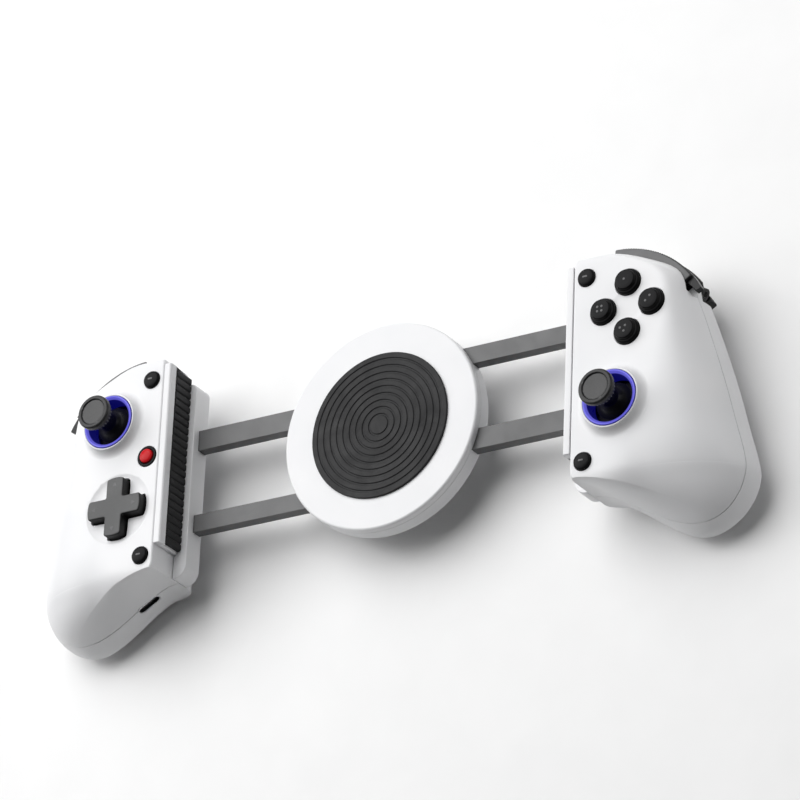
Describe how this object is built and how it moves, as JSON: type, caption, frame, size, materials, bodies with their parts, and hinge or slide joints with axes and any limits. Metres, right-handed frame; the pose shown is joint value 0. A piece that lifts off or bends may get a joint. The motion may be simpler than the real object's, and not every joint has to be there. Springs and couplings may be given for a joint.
{
  "type": "mobile game controller",
  "caption": "Telescopic game controller: two white handles with thumbsticks, a directional pad, buttons, bumpers and triggers on a spring bridge that clamps a telephone by its ends",
  "frame": {"origin": "middle of the rubber bed that the telephone's back lies on", "axes": "+X along the bay towards the right handle, +Y to the upper edge, +Z out of the face"},
  "size_m": [0.2602, 0.094, 0.0411],
  "materials": {
    "white_shell": "satin white moulded shell",
    "black_rubber": "matte black rubber",
    "steel": "plated steel",
    "nylon": "natural nylon",
    "grey_plastic": "fine-grained grey plastic",
    "circuit_board": "green solder mask",
    "lit_ring": "light guide lit in violet blue",
    "black_plastic": "fine-grained black plastic",
    "black_gloss": "polished black plastic",
    "red_gloss": "polished red plastic",
    "silicone": "grey silicone",
    "battery_wrap": "heat-shrink film"
  },
  "bodies": {
    "bridge": {"bridge_back": "white_shell", "bridge_front": "white_shell", "bed_pad": "black_rubber", "pinion_post": "steel", "bridge_screws": "steel", "return_springs": "steel"},
    "pinion": {"pinion": "nylon"},
    "left_handle": {"left_front_shell": "white_shell", "left_back_shell": "white_shell", "left_rail": "white_shell", "left_end_pad": "black_rubber", "left_bracket": "white_shell", "left_arm": "grey_plastic", "left_board": "circuit_board", "left_light_ring": "lit_ring", "left_stick_base": "black_plastic", "left_trigger_pin": "steel", "left_trigger_spring": "steel", "left_screws": "steel", "dpad_membrane": "silicone", "red_button_bezel": "black_plastic", "battery": "battery_wrap", "charging_socket": "steel"},
    "left_yoke": {"left_yoke": "steel"},
    "left_pivot": {"left_pivot": "nylon"},
    "left_stick": {"left_stick": "black_plastic", "left_cap": "black_rubber"},
    "left_bumper": {"left_bumper": "grey_plastic"},
    "left_trigger": {"left_trigger": "black_plastic"},
    "left_top_button": {"left_top_button": "black_gloss"},
    "left_bottom_button": {"left_bottom_button": "black_gloss"},
    "right_handle": {"right_front_shell": "white_shell", "right_back_shell": "white_shell", "right_rail": "white_shell", "right_end_pad": "black_rubber", "right_bracket": "white_shell", "right_arm": "grey_plastic", "right_board": "circuit_board", "right_light_ring": "lit_ring", "right_stick_base": "black_plastic", "right_trigger_pin": "steel", "right_trigger_spring": "steel", "right_screws": "steel", "button_membrane": "silicone"},
    "right_yoke": {"right_yoke": "steel"},
    "right_pivot": {"right_pivot": "nylon"},
    "right_stick": {"right_stick": "black_plastic", "right_cap": "black_rubber"},
    "right_bumper": {"right_bumper": "grey_plastic"},
    "right_trigger": {"right_trigger": "black_plastic"},
    "right_top_button": {"right_top_button": "black_gloss"},
    "right_bottom_button": {"right_bottom_button": "black_gloss"},
    "dpad_pivot": {"dpad_pivot": "nylon"},
    "dpad": {"dpad": "grey_plastic"},
    "red_button": {"red_button": "red_gloss"},
    "north_button": {"north_button": "black_gloss"},
    "east_button": {"east_button": "black_gloss"},
    "south_button": {"south_button": "black_gloss"},
    "west_button": {"west_button": "black_gloss"}
  },
  "joints": [
    {"name": "right_handle_slide", "type": "slide", "parent": "bridge", "child": "right_handle", "axis": [1, 0, 0], "range_m": [-0.014, 0.012], "stiffness_N_per_m": 60, "deforming": ["return_springs"]},
    {"name": "left_handle_slide", "type": "slide", "parent": "bridge", "child": "left_handle", "axis": [-1, 0, 0], "range_m": [-0.014, 0.012], "stiffness_N_per_m": 60},
    {"name": "pinion_turn", "type": "hinge", "parent": "bridge", "child": "pinion", "pos_m": [0, 0, -0.0055], "axis": [0, 0, 1], "range_deg": [-133.69, 114.59]},
    {"name": "left_stick_tilt_y", "type": "hinge", "parent": "left_handle", "child": "left_yoke", "pos_m": [-0.0955, 0.015, 0.0055], "axis": [1, 0, 0], "range_deg": [-15, 15], "stiffness_Nm_per_rad": 0.06},
    {"name": "left_stick_tilt_x", "type": "hinge", "parent": "left_yoke", "child": "left_pivot", "pos_m": [-0.0955, 0.015, 0.0055], "axis": [0, 1, 0], "range_deg": [-15, 15], "stiffness_Nm_per_rad": 0.06},
    {"name": "left_stick_click", "type": "slide", "parent": "left_pivot", "child": "left_stick", "axis": [0, 0, 1], "range_m": [-0.0006, 0], "stiffness_N_per_m": 2500},
    {"name": "left_bumper_press", "type": "hinge", "parent": "left_handle", "child": "left_bumper", "pos_m": [-0.08919, 0.03433, 0.0033], "axis": [0, 0, 1], "range_deg": [0, 3.5], "stiffness_Nm_per_rad": 0.6},
    {"name": "left_trigger_pull", "type": "hinge", "parent": "left_handle", "child": "left_trigger", "pos_m": [-0.10234, 0.02916, -0.0027], "axis": [-0.8387, -0.5446, 0], "range_deg": [0, 16], "stiffness_Nm_per_rad": 0.1},
    {"name": "left_top_button_press", "type": "slide", "parent": "left_handle", "child": "left_top_button", "axis": [0, 0, -1], "range_m": [0, 0.0008], "stiffness_N_per_m": 1250},
    {"name": "left_bottom_button_press", "type": "slide", "parent": "left_handle", "child": "left_bottom_button", "axis": [0, 0, -1], "range_m": [0, 0.0008], "stiffness_N_per_m": 1250},
    {"name": "right_stick_tilt_y", "type": "hinge", "parent": "right_handle", "child": "right_yoke", "pos_m": [0.0912, -0.0158, 0.0055], "axis": [1, 0, 0], "range_deg": [-15, 15], "stiffness_Nm_per_rad": 0.06},
    {"name": "right_stick_tilt_x", "type": "hinge", "parent": "right_yoke", "child": "right_pivot", "pos_m": [0.0912, -0.0158, 0.0055], "axis": [0, 1, 0], "range_deg": [-15, 15], "stiffness_Nm_per_rad": 0.06},
    {"name": "right_stick_click", "type": "slide", "parent": "right_pivot", "child": "right_stick", "axis": [0, 0, 1], "range_m": [-0.0006, 0], "stiffness_N_per_m": 2500},
    {"name": "right_bumper_press", "type": "hinge", "parent": "right_handle", "child": "right_bumper", "pos_m": [0.08919, 0.03433, 0.0033], "axis": [0, 0, -1], "range_deg": [0, 3.5], "stiffness_Nm_per_rad": 0.6},
    {"name": "right_trigger_pull", "type": "hinge", "parent": "right_handle", "child": "right_trigger", "pos_m": [0.10234, 0.02916, -0.0027], "axis": [-0.8387, 0.5446, 0], "range_deg": [0, 16], "stiffness_Nm_per_rad": 0.1},
    {"name": "right_top_button_press", "type": "slide", "parent": "right_handle", "child": "right_top_button", "axis": [0, 0, -1], "range_m": [0, 0.0008], "stiffness_N_per_m": 1250},
    {"name": "right_bottom_button_press", "type": "slide", "parent": "right_handle", "child": "right_bottom_button", "axis": [0, 0, -1], "range_m": [0, 0.0008], "stiffness_N_per_m": 1250},
    {"name": "dpad_rock_y", "type": "hinge", "parent": "left_handle", "child": "dpad_pivot", "pos_m": [-0.0912, -0.0158, 0.00465], "axis": [1, 0, 0], "range_deg": [-3.5, 3.5], "stiffness_Nm_per_rad": 0.1},
    {"name": "dpad_rock_x", "type": "hinge", "parent": "dpad_pivot", "child": "dpad", "pos_m": [-0.0912, -0.0158, 0.00465], "axis": [0, 1, 0], "range_deg": [-3.5, 3.5], "stiffness_Nm_per_rad": 0.1},
    {"name": "red_button_press", "type": "slide", "parent": "left_handle", "child": "red_button", "axis": [0, 0, -1], "range_m": [0, 0.0008], "stiffness_N_per_m": 1250},
    {"name": "north_button_press", "type": "slide", "parent": "right_handle", "child": "north_button", "axis": [0, 0, -1], "range_m": [0, 0.0014], "stiffness_N_per_m": 1000},
    {"name": "east_button_press", "type": "slide", "parent": "right_handle", "child": "east_button", "axis": [0, 0, -1], "range_m": [0, 0.0014], "stiffness_N_per_m": 1000},
    {"name": "south_button_press", "type": "slide", "parent": "right_handle", "child": "south_button", "axis": [0, 0, -1], "range_m": [0, 0.0014], "stiffness_N_per_m": 1000},
    {"name": "west_button_press", "type": "slide", "parent": "right_handle", "child": "west_button", "axis": [0, 0, -1], "range_m": [0, 0.0014], "stiffness_N_per_m": 1000}
  ],
  "couplings": [
    {"joint": "left_handle_slide", "follows": "right_handle_slide", "ratio": 1},
    {"joint": "pinion_turn", "follows": "right_handle_slide", "rad_per_m": 166.67}
  ]
}
